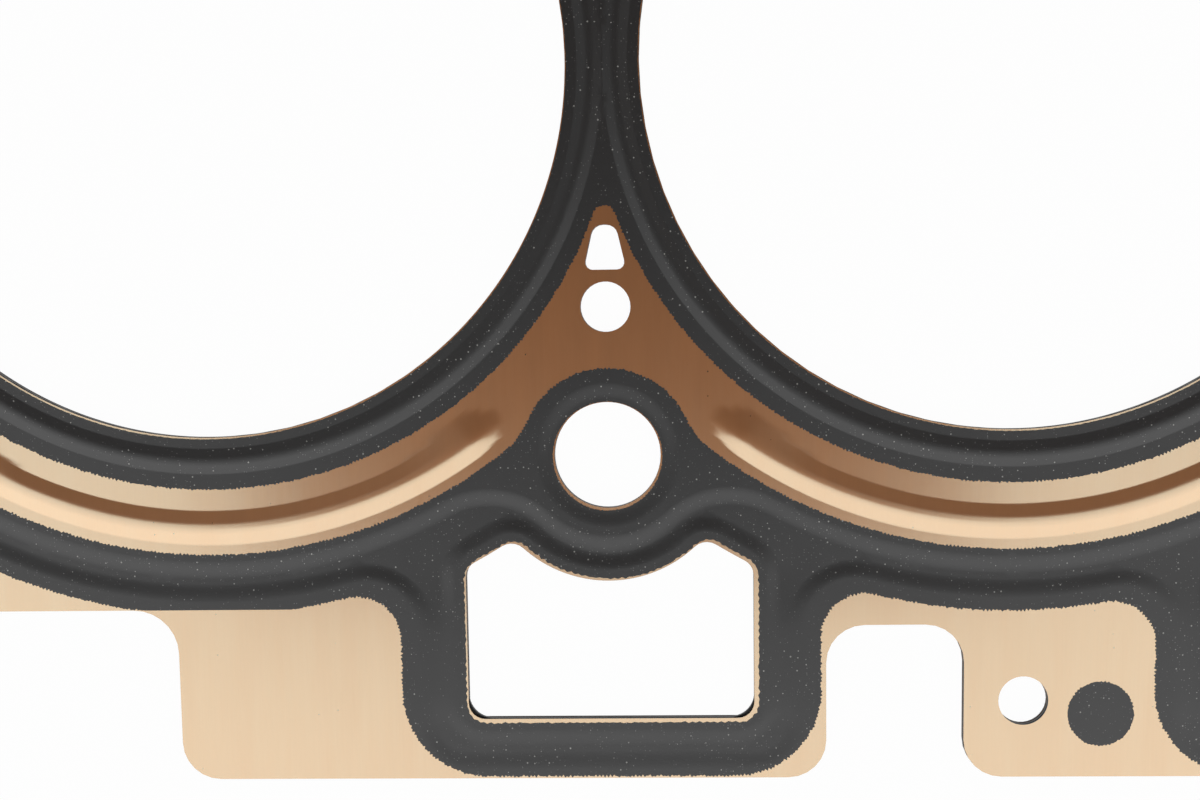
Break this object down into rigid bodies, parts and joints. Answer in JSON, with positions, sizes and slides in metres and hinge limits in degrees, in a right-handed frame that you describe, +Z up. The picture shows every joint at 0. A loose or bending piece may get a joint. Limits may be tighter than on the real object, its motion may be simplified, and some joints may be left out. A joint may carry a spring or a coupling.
{
  "type": "cylinder head gasket",
  "caption": "Multi-layer steel cylinder head gasket for an in-line engine, with beaded sheets, printed black sealing coating, bolt holes, coolant holes and oil drain windows.",
  "frame": {"origin": "middle of the head bolt pattern, halfway through the thickness", "axes": "+X along the row of cylinders, +Y across it, away from the oil drain windows, +Z up through the layers"},
  "size_m": [0.4384, 0.1568, 0.002],
  "materials": {
    "bronze_steel": "satin, rolled",
    "spacer_steel": "satin, blackened",
    "stopper_steel": "satin, rolled",
    "black_coating": "matte, screen printed"
  },
  "bodies": {
    "root": {"upper_sheet": "bronze_steel", "lower_sheet": "bronze_steel", "spacer_sheet": "spacer_steel", "stopper_ring_1": "stopper_steel", "stopper_ring_2": "stopper_steel", "stopper_ring_3": "stopper_steel", "stopper_ring_4": "stopper_steel", "upper_seal_coating": "black_coating", "upper_bore_coating": "black_coating", "tab_spot": "black_coating", "lower_seal_coating": "black_coating", "lower_bore_coating": "black_coating"}
  },
  "joints": []
}
